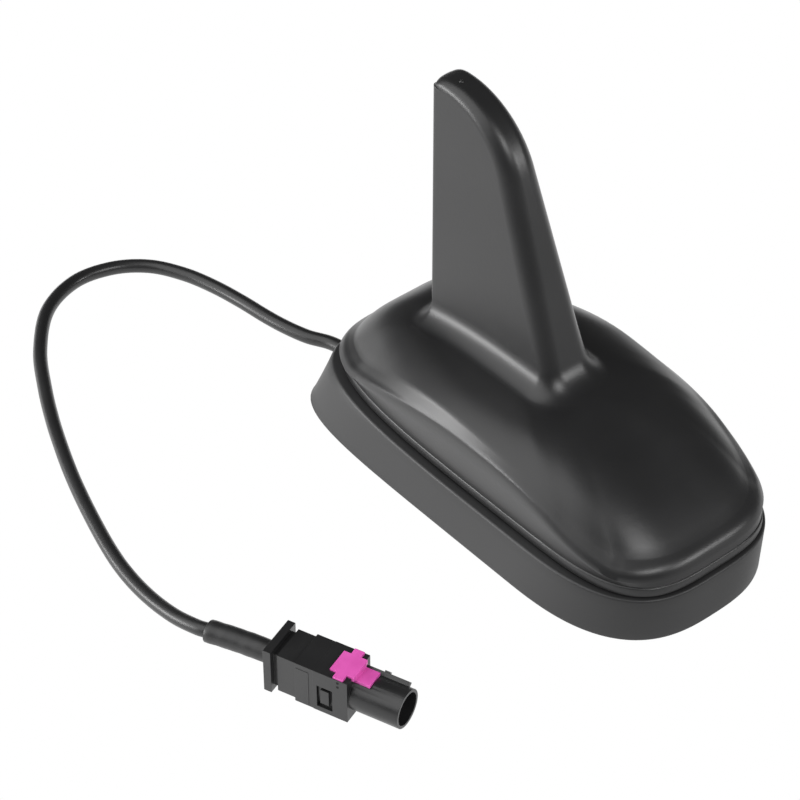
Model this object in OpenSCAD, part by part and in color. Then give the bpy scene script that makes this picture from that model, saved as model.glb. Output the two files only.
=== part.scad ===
// Roof aerial in the form of a shark fin: a hollow moulded cover on a rubber skirt,
// with its boards inside, and a short coaxial lead that ends in a coded RF plug.
// The nose points to -Y, the fin stands at the rear, and the flat underside is z = 0.

/* [Base] */
// Overall length of the rubber skirt
base_l = 112; // [104:1:120]
// Overall width of the rubber skirt
base_w = 54; // [50:1:60]
// Height of the skirt's ledge round the cover
skirt_h = 12; // [11:0.5:14]
// How far the skirt draws in at the rear, from its foot to its ledge
rear_flare = 2.6; // [0:0.2:4]
// Width of the ledge that shows round the cover
ledge_w = 2.4; // [1.5:0.1:3.5]
// Thickness of the rubber round the tray
rubber_t = 4; // [3:0.25:5]
// Shadow gap between the ledge and the cover
gap_h = 0.5; // [0.3:0.1:0.8]

/* [Cover] */
// Wall of the moulded cover
cover_wall = 2.2; // [1.6:0.1:2.8]
// Height of the cover's highest point under the fin
dome_h = 37.5; // [34:0.5:42]
// Height of the arched shoulder at the sides
shoulder_h = 28.5; // [25:0.5:31]
// Height of the cover's edge at the nose
nose_h = 16.5; // [15.5:0.5:19]

/* [Fin] */
// Height of the tip of the fin above the underside
fin_h = 92; // [84:0.2:100]
// Thickness of the fin at its root
fin_root_t = 11; // [10:0.2:13]
// Thickness of the fin just under its rounded top
fin_top_t = 8; // [7:0.2:9]
// Lean of the leading edge from upright, in degrees
fin_lean = 22.5; // [18:0.5:26]
// Radius of the curve from the leading edge to the tip
fin_crown_r = 24; // [18:1:28]
// Distance of the rear face behind the middle of the base, at the root
fin_rear = 29.7; // [27:0.1:32]
// Radius of the fillet between the fin and the cover
fin_fillet = 3.6; // [2:0.2:5]
// Wall of the fin
fin_wall = 1.6; // [1.2:0.1:2]

/* [Underside] */
// Thickness of the adhesive foam pad
pad_t = 1; // [0.6:0.1:1.6]
// Floor of the tray
tray_floor = 2.4; // [2:0.1:3.2]
// Wall of the tray
tray_wall = 2; // [1.6:0.1:2.6]
// Diameter of the cover screws
screw_d = 3; // [2.5:0.1:3.5]
// Diameter of the moulded bosses that the cover screws bite into
boss_d = 6.4; // [6:0.1:7]

/* [Boards] */
// Thickness of both circuit boards
board_t = 1.6; // [1:0.1:2]
// Length of the matching board
board_l = 50; // [44:1:54]
// Width of the matching board
board_w = 26; // [24:0.5:28]
// Height of the pillars under the matching board
pillar_h = 1.4; // [1:0.1:2]
// Thickness of the copper radiator
copper_t = 0.3; // [0.2:0.05:0.4]
// Width of one run of the copper radiator
copper_w = 2; // [1.4:0.1:2.4]

/* [Lead] */
// Diameter of the coaxial lead
lead_d = 3.3; // [2.8:0.1:3.6]
// Diameter of the heat shrink sleeve
sleeve_d = 4.4; // [4.2:0.1:5]
// Length of the heat shrink sleeve
sleeve_l = 15; // [12:0.5:18]

/* [Plug] */
// Width of the plug's body
plug_w = 9.4; // [9.2:0.1:10]
// Height of the plug's body
plug_h = 11; // [10.4:0.1:11.6]
// Width of the square flange behind the neck
flange_w = 10; // [9.8:0.1:11]
// Length of the plug's body
plug_body_l = 12.3; // [11.5:0.1:14]
// Length of the neck between the flange and the body
plug_neck_l = 5.4; // [4.6:0.1:6]
// Thickness of the flange
plug_flange_t = 1.8; // [1.4:0.1:2.2]
// Diameter of the round nose
nose_d = 8.6; // [8.4:0.1:9.2]
// Length of the round nose
nose_l = 11.2; // [10.5:0.1:12.5]
// Bore of the round nose
nose_bore = 7.2; // [7:0.1:7.4]
// Depth of the open mouth in front of the contact
mouth_l = 4.6; // [4.4:0.1:5.2]
// Outer diameter of the contact tube
contact_d = 4; // [3.6:0.1:4.4]
// Height of the coding insert above the plug's body
insert_t = 0.5; // [0.3:0.1:0.7]

/* [Hidden] */

// Points in one ring of the lofted shells, counted from the rear centre by way of +X
ring_n = 64;
half_n = ring_n / 2;
$fn = 32;

// Plan of the base: the widest section lies towards the nose
widest_y = -20;
half_l = base_l / 2;
foot_front_n = 2.75;
foot_rear_n = 6;
top_front_n = 3.1;
top_rear_n = 4;
ledge_in = 0.5;
foot_z = skirt_h + gap_h;
lip_in = 1;

// Tray, pad and board levels
tray_in = rubber_t + ledge_in;
tray_z = pad_t;
tray_top = foot_z;
floor_z = pad_t + tray_floor;
board_z = floor_z + pillar_h;
board_top = board_z + board_t;
board_y = 1;
fit = 0.2;

// Lead: where it leaves the skirt, and its route as points on its middle line
lead_x = -6;
lead_z = pad_t + lead_d / 2;

// Plug: middle of its flange's rear face, and the turn of its axis from -Y towards +X.
// Sizes along the plug are counted from that face towards the mouth.
plug_at = [-80.7, -10.6];
plug_turn = 20.5;
flange_h = plug_h + 0.3;
plug_axis_z = flange_h / 2;
body_u = plug_flange_t + plug_neck_l;
nose_u = body_u + plug_body_l;
mouth_u = nose_u + nose_l;
ferrule_d = 4.4;
ferrule_l = 9;
core_d = 1;

function mix(a, b, k) = a + (b - a) * k;
function power(v, e) = pow(max(v, 0), e);

// One point of an oval plan: half width w, ends at rear and front, and how square each end is
function oval(t, w, rear, front, rear_n, front_n) =
    let (s = sin(t), c = cos(t), n = c >= 0 ? rear_n : front_n,
        a = c >= 0 ? rear - widest_y : widest_y - front,
        k = pow(pow(abs(s), n) + pow(abs(c), n), -1 / n))
    [w * s * k, widest_y + a * c * k];
function foot_plan(t, in) =
    oval(t, base_w / 2 - in, half_l - in, -half_l + in, foot_rear_n, foot_front_n);
function top_plan(t, in) =
    oval(t, base_w / 2 - ledge_in - in, half_l - rear_flare - in, -half_l + in,
        top_rear_n, top_front_n);
function turn(i) = 360 * i / ring_n;
function plan_ring(in) = [for (i = [0:ring_n - 1]) top_plan(turn(i), in)];
function foot_ring(in) = [for (i = [0:ring_n - 1]) foot_plan(turn(i), in)];
function raise(ring, z) = [for (p = ring) [p[0], p[1], z]];

// Faces between rings of equal count; a loop joins the last ring to the first
function band(a, b, n) = [for (i = [0:n - 1]) let (j = (i + 1) % n)
    each [[a * n + i, a * n + j, b * n + j], [a * n + i, b * n + j, b * n + i]]];
module loop_loft(rings) {
    n = len(rings[0]);
    m = len(rings);
    polyhedron([for (r = rings) each r],
        [for (k = [0:m - 1]) each band(k, (k + 1) % m, n)], convexity = 10);
}
module shell_loft(rings) {
    n = len(rings[0]);
    m = len(rings);
    polyhedron([for (r = rings) each r],
        concat([for (k = [0:m - 2]) each band(k, k + 1, n)],
            [[for (i = [0:n - 1]) n - 1 - i]],
            [[for (i = [0:n - 1]) (m - 1) * n + i]]), convexity = 10);
}

// Dome of the cover: the arched shoulder, the ridge, and how a ring climbs between them
shoulder_y = -3;
shoulder_reach = 50;
function arch(y) = 1 - pow((y - shoulder_y) / shoulder_reach, 2);
function shoulder_z(y) =
    let (edge = y > 0 ? nose_h + 1.5 : nose_h, rise = (shoulder_h - edge) * arch(y))
    edge + (rise + sqrt(rise * rise + 4)) / 2 - 0.3;
ridge_y = 8;
function ridge_z(y) =
    let (front = y < ridge_y, n = front ? 1.6 : 2.3,
        a = front ? ridge_y + half_l - ledge_w : half_l - rear_flare - ledge_w - ridge_y,
        u = min(abs(y - ridge_y) / a, 1))
    foot_z + (dome_h - foot_z) * pow(1 - pow(u, n), 1 / n);
function dome_ring(in, drop) = [for (i = [0:ring_n - 1])
    let (p = top_plan(turn(i), ledge_w + in)) [p[0], p[1], shoulder_z(p[1]) - drop]];

// Fin: the leading edge and crown as one curve, the rear face, and the half thickness
crown_c = [fin_rear - 3.3, fin_h - fin_crown_r];
crown_foot = crown_c + fin_crown_r * [-cos(fin_lean), sin(fin_lean)];
root_z = dome_h - 1.5;
crease_z = fin_h - 5.4;
rear_rake = 2;
straight = 0.5;
function lead_edge(r) = r < straight
    ? let (z = mix(root_z, crown_foot[1], r / straight))
        [crown_foot[0] - (crown_foot[1] - z) * tan(fin_lean), z]
    : let (a = mix(180 - fin_lean, 86, (r - straight) / (1 - straight)))
        crown_c + fin_crown_r * [cos(a), sin(a)];
function lead_normal(r) = r < straight ? [cos(fin_lean), -sin(fin_lean)]
    : let (a = mix(180 - fin_lean, 86, (r - straight) / (1 - straight))) [-cos(a), -sin(a)];
function edge_w(r) = r < straight ? mix(8.6, 7, r / straight)
    : mix(7, 5.4, (r - straight) / (1 - straight));
function rear_z(r) = r < straight ? mix(root_z, crown_foot[1] + 2, r / straight)
    : mix(crown_foot[1] + 2, crease_z, (r - straight) / (1 - straight));
function rear_y(z) = fin_rear + rear_rake * (z - root_z) / (fin_h - root_z);
function half_t(z) = mix(fin_root_t, fin_top_t, (z - root_z) / (crease_z - root_z)) / 2;

// Steps round half a fin ring: rear face, rear corner, side face, rounded edge
rear_steps = 7;
corner_steps = 9;
side_steps = 16;
corner_r = 1.2;
edge_n = 2.2;
function fin_point(j, r, in) =
    let (c = lead_edge(r) + in * lead_normal(r), q = lead_edge(r) + edge_w(r) * lead_normal(r),
        ez = rear_z(r), ey = rear_y(ez) - in, w = half_t(ez) - in)
    j <= rear_steps ? [(w - corner_r) * j / rear_steps, ey, ez]
    : j <= corner_steps
        ? let (a = 90 * (j - rear_steps) / (corner_steps - rear_steps))
            [w - corner_r + corner_r * sin(a), ey - corner_r + corner_r * cos(a), ez]
    : j <= side_steps
        ? let (k = (j - corner_steps) / (side_steps - corner_steps),
            y = mix(ey - corner_r, q[0], k), z = mix(ez, q[1], k))
            [half_t(z) - in, y, z]
    : let (a = 90 * (j - side_steps) / (half_n - side_steps), k = power(sin(a), 2 / edge_n),
        y = mix(q[0], c[0], k), z = mix(q[1], c[1], k))
        [(half_t(q[1]) - in) * power(cos(a), 2 / edge_n), y, z];
function fin_ring(r, in) = [for (i = [0:ring_n - 1])
    let (left = i > half_n, p = fin_point(left ? ring_n - i : i, r, in)) [left ? -p[0] : p[0], p[1], p[2]]];

// Rounded end of the crown: the last fin ring drawn in towards one point of the rear face
function crown_end(in, k, y) =
    let (z = crease_z + 1.6)
    [for (p = fin_ring(1, in)) [p[0] * k, mix(rear_y(z) - in, p[1], y), mix(z, p[2], k)]];

// Root of the fin: its own outline pushed out over the dome by the fillet
function ring_normal(ring, i) =
    let (n = len(ring), a = ring[(i + n - 1) % n], b = ring[(i + 1) % n],
        d = [b[1] - a[1], a[0] - b[0]])
    -d / norm(d);
function root_ring(out, up) =
    let (ring = fin_ring(0, 0))
    [for (i = [0:ring_n - 1])
        let (p = ring[i], n = ring_normal(ring, i), q = [p[0] + out * n[0], p[1] + out * n[1]])
        [q[0], q[1], ridge_z(q[1]) - 0.012 * q[0] * q[0] + up]];

// Crown of the dome: each ring lies part of the way from the shoulder to the fin's fillet
function crown_ring(low, high, k) = [for (i = [0:ring_n - 1])
    let (a = low[i], b = high[i], e = 1.8 - 0.35 * pow(sin(turn(i)), 2))
    [mix(a[0], b[0], k), mix(a[1], b[1], k), mix(a[2], b[2], 1 - pow(1 - k, e))]];

// Plates that follow the plan of the base
module plan_plate(in, z, h) {
    translate([0, 0, z]) linear_extrude(h) polygon([for (p = plan_ring(in)) p]);
}
// Half width of the plan at a place along the base
function half_width(y, in) =
    let (a = y > widest_y ? half_l - rear_flare - in - widest_y : widest_y + half_l - in,
        n = y > widest_y ? top_rear_n : top_front_n)
    (base_w / 2 - ledge_in - in) * pow(1 - pow(min(abs(y - widest_y) / a, 1), n), 1 / n);

// Cover screws: just outside the board's ends, and as near the tray's wall as the bosses fit
boss_gap = 0.5;
screw_front = board_y - board_l / 2 - boss_d / 2 - 1.3;
screw_back = board_y + board_l / 2 + boss_d / 2 + 1.3;
function screw_x(y) = half_width(y, tray_in + tray_wall) - boss_d / 2 - boss_gap;
module screw_places() {
    for (s = [-1, 1], y = [screw_front, screw_back])
        translate([s * screw_x(y), y, 0]) children();
}

// Levels of the cover's bosses and of the screws in them
boss_top = foot_z + 4;
boss_web = 1.6;
head_d = screw_d * 1.9;
head_h = 1.3;
screw_top = foot_z + 1;

module boss_webs(y) {
    reach = half_width(y, ledge_w + cover_wall / 2);
    for (s = [0, 1]) mirror([s, 0, 0])
        translate([screw_x(y), y - boss_web / 2, foot_z + 0.5])
            cube([reach - screw_x(y), boss_web, boss_top - foot_z - 0.5]);
}
module cover() {
    low = dome_ring(3, -1.2);
    high = root_ring(fin_fillet, 0);
    inner_low = dome_ring(cover_wall + 2.4, cover_wall - 0.6);
    inner_high = root_ring(-fin_wall, -cover_wall);
    color([0.13, 0.13, 0.135])
    difference() {
        union() {
            loop_loft(concat(
                [raise(plan_ring(ledge_w), foot_z), raise(plan_ring(ledge_w + 0.1), foot_z + 2.2),
                    dome_ring(0.6, 2.2), dome_ring(1, 0.9), dome_ring(1.9, -0.3), low],
                [for (k = [0.14, 0.3, 0.48, 0.66, 0.84]) crown_ring(low, high, k)],
                [high, root_ring(fin_fillet * 0.5, fin_fillet * 0.13),
                    root_ring(fin_fillet * 0.13, fin_fillet * 0.5)],
                [for (r = [0.06:0.1:0.46]) fin_ring(r, 0)],
                [for (r = [0.5:0.0625:1]) fin_ring(r, 0)],
                [crown_end(0, 0.86, 0.35), crown_end(0, 0.5, 0), crown_end(0, 0.02, 0)],
                [crown_end(fin_wall, 0.02, 0), crown_end(fin_wall, 0.8, 0.2)],
                [for (r = [0.96, 0.8, 0.65, 0.5, 0.3, 0.1]) fin_ring(r, fin_wall)],
                [inner_high],
                [for (k = [0.75, 0.5, 0.25]) crown_ring(inner_low, inner_high, k)],
                [inner_low, dome_ring(cover_wall + 0.5, 3.5),
                    raise(plan_ring(ledge_w + cover_wall), foot_z)]));
            screw_places() translate([0, 0, floor_z]) cylinder(d = boss_d, h = boss_top - floor_z);
            boss_webs(screw_front);
            boss_webs(screw_back);
        }
        screw_places() translate([0, 0, floor_z - 1]) cylinder(d = screw_d, h = screw_top - floor_z + 1);
    }
}

// Rubber skirt round the tray: outer wall, ledge, lip under the cover, and the lead's hole
module gasket() {
    lip = ledge_w + lip_in;
    color([0.10, 0.10, 0.105])
    difference() {
        loop_loft([raise(foot_ring(0), 0), raise(plan_ring(0), skirt_h - 0.5),
            raise(plan_ring(0.5), skirt_h), raise(plan_ring(lip), skirt_h),
            raise(plan_ring(lip), foot_z), raise(plan_ring(tray_in), foot_z),
            raise(plan_ring(tray_in), 0)]);
        translate([lead_x, half_l - 20, lead_z]) rotate([-90, 0, 0]) cylinder(d = lead_d, h = 40);
    }
}

// Tray of the base: floor, wall, board pillars, recessed screw holes, and the lead's slot
module board_places() {
    for (s = [-1, 1], e = [-1, 1])
        translate([s * (board_w / 2 - 3), board_y + e * (board_l / 2 - 4), 0]) children();
}
board_screw_d = 2;
pillar_d = 5;
slot_gap = 0.3;
slot_y = 34;
module base_tray() {
    color([0.30, 0.30, 0.31])
    difference() {
        union() {
            difference() {
                plan_plate(tray_in, tray_z, tray_top - tray_z);
                plan_plate(tray_in + tray_wall, floor_z, tray_top);
            }
            board_places() translate([0, 0, tray_z]) cylinder(d = pillar_d, h = board_z - tray_z);
        }
        board_places() translate([0, 0, tray_z + 1]) cylinder(d = board_screw_d, h = board_z);
        screw_places() {
            translate([0, 0, -1]) cylinder(d = screw_d + fit, h = floor_z + 2);
            translate([0, 0, -1]) cylinder(d = head_d + 2 * fit, h = tray_z + head_h + 1);
        }
        translate([lead_x - lead_d / 2 - slot_gap, slot_y, 0])
            cube([lead_d + 2 * slot_gap, half_l - slot_y, lead_z + lead_d / 2 + slot_gap]);
    }
}

// Die-cut foam under the tray, with a round window at each screw
module adhesive_pad() {
    color([0.20, 0.20, 0.20])
    difference() {
        plan_plate(tray_in + fit, 0, pad_t);
        screw_places() translate([0, 0, -1]) cylinder(d = head_d + 1.6, h = pad_t + 2);
    }
}

// Pan head screws with a cross recess, seen from below
module cover_screws() {
    slot_w = 0.7;
    color([0.55, 0.56, 0.58])
    screw_places() translate([0, 0, tray_z]) difference() {
        union() {
            cylinder(d = head_d, h = head_h);
            cylinder(d = screw_d, h = screw_top - tray_z - 0.4);
        }
        for (a = [0, 90]) rotate([0, 0, a])
            translate([-head_d * 0.3, -slot_w / 2, -1]) cube([head_d * 0.6, slot_w, 1.8]);
    }
}

module matching_board() {
    color([0.08, 0.30, 0.16])
    difference() {
        translate([-board_w / 2, board_y - board_l / 2, board_z]) cube([board_w, board_l, board_t]);
        board_places() translate([0, 0, board_z - 1]) cylinder(d = board_screw_d + fit, h = board_t + 2);
    }
}

module board_screws() {
    head = 1.3;
    slot_w = 0.6;
    color([0.66, 0.67, 0.69])
    board_places() difference() {
        union() {
            translate([0, 0, board_top]) cylinder(d = board_screw_d * 1.9, h = head);
            translate([0, 0, tray_z + 1.2]) cylinder(d = board_screw_d, h = board_top - tray_z - 1);
        }
        for (a = [0, 90]) rotate([0, 0, a])
            translate([-board_screw_d * 0.6, -slot_w / 2, board_top + head - 0.7])
                cube([board_screw_d * 1.2, slot_w, 2]);
    }
}

// Chips and coils of the matching network, in one row beside the fin board
module board_parts() {
    chip = [3.2, 1.6, 1];
    color([0.35, 0.33, 0.30])
    for (k = [0:3])
        translate([5, board_y - 14 + 4.5 * k, board_top]) cube(chip);
    color([0.12, 0.12, 0.12])
    translate([4.5, board_y + 8, board_top]) cube([5, 4, 1.5]);
}

// Upright board inside the fin: its edge follows the leading edge and the crown
board_in = 4.6;
board_back = 3;
fin_board_r = 0.9;
function fin_board_edge(r) = lead_edge(r) + board_in * lead_normal(r);
fin_board_foot = -2;
fin_board_heel = fin_rear - board_back - 4;
module fin_board_outline() {
    top = fin_board_edge(fin_board_r);
    polygon(concat([[fin_board_foot, board_top], [fin_board_foot, root_z - 12]],
        [for (r = [0.04:0.115:0.5]) fin_board_edge(r)],
        [for (r = [0.6:0.1:fin_board_r + 0.01]) fin_board_edge(r)],
        [[fin_rear - board_back, top[1]], [fin_rear - board_back, root_z - 4],
            [fin_board_heel, root_z - 9], [fin_board_heel, board_top]]));
}
// Turns a profile drawn in (y, z) so that it stands in the middle plane
module upright(x, t) {
    translate([x, 0, 0]) rotate([90, 0, 90]) linear_extrude(t) children();
}
module fin_board() {
    color([0.10, 0.34, 0.18]) upright(-board_t / 2, board_t) fin_board_outline();
}

// Copper radiator on the board: a folded run that narrows with the fin
runs = 7;
run_pitch = 6;
run_z = root_z + 2;
function run_front(k) = let (z = run_z + k * run_pitch) max(-4, 1.5 + 0.43 * (z - root_z));
module radiator() {
    back = fin_rear - board_back - 1.5;
    color([0.72, 0.42, 0.24]) upright(-board_t / 2 - copper_t, copper_t) {
        translate([back - 10, board_top + 6]) square([copper_w, run_z - board_top - 6]);
        for (k = [0:runs - 1]) {
            z = run_z + k * run_pitch;
            translate([run_front(k), z]) square([back - run_front(k), copper_w]);
            if (k < runs - 1)
                translate([k % 2 == 0 ? back - copper_w : run_front(k + 1), z])
                    square([copper_w, run_pitch + copper_w]);
        }
    }
}

// Two soldered angle brackets that hold the upright board and carry its feed
module feed_brackets() {
    leg = 4;
    t = 0.5;
    color([0.75, 0.75, 0.76])
    for (y = [2, fin_board_heel - leg - 1]) translate([board_t / 2, y, board_top]) {
        cube([leg, leg, t]);
        cube([t, leg, leg]);
    }
}

// Strap that holds the lead down on the board
clamp_y = 13;
clamp_l = 4;
clamp_t = 0.6;
module lead_clamp() {
    r = lead_d / 2;
    color([0.70, 0.71, 0.72])
    translate([lead_x, clamp_y + clamp_l, board_top]) rotate([90, 0, 0]) linear_extrude(clamp_l)
        difference() {
            union() {
                translate([0, r]) circle(r + clamp_t);
                translate([-r - clamp_t, 0]) square([2 * r + 2 * clamp_t, r]);
                translate([-r - 2, 0]) square([2 * r + 4, clamp_t]);
            }
            translate([0, r]) circle(r);
            translate([-r, -1]) square([2 * r, r + 1]);
        }
}

// Stripped end of the lead: dielectric, inner conductor, and its solder on the board
lead_end_y = 10;
module lead_end() {
    color([0.88, 0.86, 0.80])
    translate([lead_x, lead_end_y, board_top + lead_d / 2]) rotate([90, 0, 0]) {
        cylinder(d = lead_d * 0.55, h = 2.5);
        cylinder(d = 0.8, h = 5);
    }
    color([0.72, 0.73, 0.74])
    translate([lead_x, lead_end_y - 4.6, board_top]) cylinder(d = 2.4, h = lead_d / 2);
}

// Route of the lead, from its end on the board to the plug, on its middle line
floor_lead = lead_d / 2;
function plug_point(u) =
    [plug_at[0] + u * sin(plug_turn), plug_at[1] - u * cos(plug_turn), plug_axis_z];
lead_in = 7;
free_route = [
    [lead_x, lead_end_y, board_top + floor_lead], [lead_x, 18, board_top + floor_lead],
    [lead_x, 25, board_top + floor_lead], [lead_x, 31, 7.2], [lead_x, 37, 4.9],
    [lead_x, 42, 3.2], [lead_x, 46.5, lead_z], [lead_x, half_l, lead_z], [-7, 62, 2.1],
    [-9.2, 68, 1.7], [-11.1, 74, 1.65], [-12.3, 80, 1.65], [-13.5, 88, 1.65],
    [-15, 96.4, 1.65], [-17.6, 104.9, 1.65], [-22.2, 112.8, 1.65], [-29.6, 118, 1.65],
    [-39.4, 119.4, 1.65], [-50.3, 114.7, 1.65], [-60, 103.8, 1.65], [-66.8, 92.1, 1.65],
    [-71.8, 81.9, 1.65], [-75.6, 73, 1.65], [-78.8, 64.8, 1.65], [-81.5, 56.9, 1.65],
    [-84, 48.7, 1.65], [-86.1, 41, 1.65], [-87.5, 34.5, 1.65], [-88.5, 27.5, 2],
    [-89.1, 20, 2.9], [-89.1, 12.5, 4.2], [-88.2, 6.5, 5.3]
];
sleeve_bend = [-1.7, -0.4, 0];
function sleeve_point(s) = plug_point(-s) + pow(s / sleeve_l, 2) * sleeve_bend;
sleeve_from = len(free_route);
sleeve_to = sleeve_from + 3;
route = concat(free_route, [for (k = [3:-1:0]) sleeve_point(sleeve_l * k / 3)],
    [plug_point(lead_in)]);
// Smooth curve through the route: two steps to each stretch, and never below the floor
function bend(k, s) =
    let (a = route[max(k - 1, 0)], b = route[k], c = route[min(k + 1, len(route) - 1)],
        d = route[min(k + 2, len(route) - 1)],
        p = 0.5 * (2 * b + (c - a) * s + (2 * a - 5 * b + 4 * c - d) * s * s
            + (3 * b - a - 3 * c + d) * s * s * s))
    [p[0], p[1], max(p[2], floor_lead)];
function smooth_path(first, last) =
    concat([for (k = [first:last - 1]) each [bend(k, 0), bend(k, 0.5)]], [route[last]]);
tube_n = 8;
function tube_ring(path, k, r) =
    let (a = path[max(k - 1, 0)], b = path[min(k + 1, len(path) - 1)], d = (b - a) / norm(b - a),
        side = cross(d, [0, 0, 1]) / norm(cross(d, [0, 0, 1])), up = cross(side, d))
    [for (i = [0:tube_n - 1]) let (t = 360 * (i + 0.5) / tube_n)
        path[k] + r * (cos(t) * side + sin(t) * up)];
lead_path = concat(smooth_path(0, sleeve_to), [plug_point(lead_in)]);
module aerial_lead() {
    color([0.09, 0.09, 0.09])
    shell_loft([for (k = [0:len(lead_path) - 1]) tube_ring(lead_path, k, lead_d / 2)]);
}

// Heat shrink sleeve, drawn over the lead behind the plug
module heat_shrink_sleeve() {
    first = 2 * sleeve_from;
    last = 2 * sleeve_to;
    color([0.11, 0.11, 0.11])
    loop_loft(concat(
        [for (k = [first:last]) tube_ring(lead_path, k, sleeve_d / 2)],
        [for (k = [last:-1:first]) tube_ring(lead_path, k, lead_d / 2)]));
}

// Plug frame: the axis lies along local -Y, and the flange's rear face is at 0
module at_plug() {
    translate([plug_at[0], plug_at[1], plug_axis_z]) rotate([0, 0, plug_turn]) children();
}
module block(u, w, h, l) {
    translate([-w / 2, -u - l, -h / 2]) cube([w, l, h]);
}
module rod(u, d, l) {
    translate([0, -u, 0]) rotate([90, 0, 0]) cylinder(d = d, h = l);
}

groove_w = 1.1;
rear_block_l = 4;
carrier_l = 4;
window_u = 5.2;
window_l = 3.6;
window_h = 5.8;
window_t = 0.8;
key_w = 1.6;
key_turn = 50;
module plug_housing() {
    rear_w = plug_w - 0.4;
    rear_h = plug_h - 0.5;
    color([0.12, 0.12, 0.125])
    at_plug() difference() {
        union() {
            block(0, flange_w, flange_h, plug_flange_t);
            block(0, rear_w - 1.6, rear_h - 1.6, body_u + 1);
            block(plug_flange_t + groove_w, rear_w - 0.4, rear_h - 0.4, plug_neck_l - groove_w);
            block(body_u, rear_w, rear_h, carrier_l);
            block(body_u + carrier_l - 0.6, rear_w - 0.8, rear_h - 0.8, 2);
            block(body_u + carrier_l + 0.3, plug_w, plug_h, plug_body_l - carrier_l - 0.3);
            rod(nose_u - 1, nose_d, nose_l + 1);
            rotate([0, key_turn, 0]) translate([-key_w / 2, -mouth_u + 1.5, 0])
                cube([key_w, nose_l - 1, nose_d / 2 + 0.9]);
        }
        rod(-1, ferrule_d, ferrule_l + 1);
        rod(ferrule_l - 1, contact_d, nose_u);
        rod(nose_u + 0.8, nose_bore, nose_l);
        for (s = [0, 1]) mirror([s, 0, 0])
            translate([-plug_w / 2 - 1, -body_u - window_u - window_l, 1.6 - window_h])
                difference() {
                    cube([1 + window_t, window_l, window_h]);
                    translate([1, 0.8, 1.2]) cube([window_t, window_l - 1.6, window_h - 2]);
                }
        coding_cut();
    }
}

// Coding insert: a cross-shaped plate on the body that steps down to a tongue on the nose
plate_w = 5.7;
plate_u = nose_u - 5;
wing_w = 9;
wing_l = 2.3;
wing_u = nose_u - 3.4;
tongue_w = 4.3;
tongue_l = 3.8;
insert_sink = 0.6;
module coding_cut() {
    translate([-plate_w / 2, -nose_u - 1, plug_h / 2 - insert_sink])
        cube([plate_w, nose_u - plate_u + 1, 2]);
    translate([-wing_w / 2, -wing_u - wing_l, plug_h / 2 - insert_sink])
        cube([wing_w, wing_l, 2]);
    translate([-tongue_w / 2, -nose_u - tongue_l, nose_d / 2 - 0.3])
        cube([tongue_w, tongue_l, 2]);
}
module coding_insert() {
    color([0.72, 0.10, 0.58])
    at_plug() {
        translate([-plate_w / 2, -nose_u - 0.5, plug_h / 2 - insert_sink])
            cube([plate_w, nose_u - plate_u + 0.5, insert_sink + insert_t]);
        translate([-wing_w / 2, -wing_u - wing_l, plug_h / 2 - insert_sink])
            cube([wing_w, wing_l, insert_sink + insert_t]);
        translate([-tongue_w / 2, -nose_u - 0.6, nose_d / 2 - 0.3])
            cube([tongue_w, 0.6, plug_h / 2 + insert_t - nose_d / 2 + 0.3]);
        translate([-tongue_w / 2, -nose_u - tongue_l, nose_d / 2 - 0.3])
            cube([tongue_w, tongue_l, 0.7]);
    }
}

// Crimped onto the lead's braid, inside the back of the housing
module crimp_ferrule() {
    color([0.70, 0.70, 0.72])
    at_plug() difference() {
        rod(0, ferrule_d, ferrule_l);
        rod(-1, lead_d, ferrule_l + 2);
    }
}

// Outer contact, its insulator and its pin
contact_u = ferrule_l;
contact_end = mouth_u - mouth_l;
contact_bore = 3.1;
module contact_tube() {
    color([0.80, 0.80, 0.82])
    at_plug() difference() {
        rod(contact_u, contact_d, contact_end - contact_u);
        rod(contact_u - 1, contact_bore, contact_end);
    }
}
module contact_insulator() {
    color([0.92, 0.91, 0.88])
    at_plug() difference() {
        rod(contact_u, contact_bore, contact_end - contact_u - 4);
        rod(contact_u - 1, core_d, contact_end);
    }
}
module centre_pin() {
    color([0.85, 0.68, 0.32])
    at_plug() rod(lead_in, core_d, contact_end - lead_in - 1);
}

cover();
gasket();
base_tray();
adhesive_pad();
cover_screws();
matching_board();
board_screws();
board_parts();
fin_board();
radiator();
feed_brackets();
lead_clamp();
lead_end();
aerial_lead();
heat_shrink_sleeve();
crimp_ferrule();
plug_housing();
coding_insert();
contact_tube();
contact_insulator();
centre_pin();
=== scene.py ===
"""Looks for the shark fin aerial: moulded cover, rubber skirt, coaxial lead and coded RF plug.

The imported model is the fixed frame. Every piece is built in the same frame, in metres, with its
object at the origin. Sizes in the property groups are in millimetres. They started from the CAD
source, and those of the cover and the sleeve were then set to the photograph.
"""

import math

import bmesh
import bpy
from bpy.props import FloatProperty, FloatVectorProperty, IntProperty, PointerProperty
from mathutils import Matrix, Vector


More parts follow.
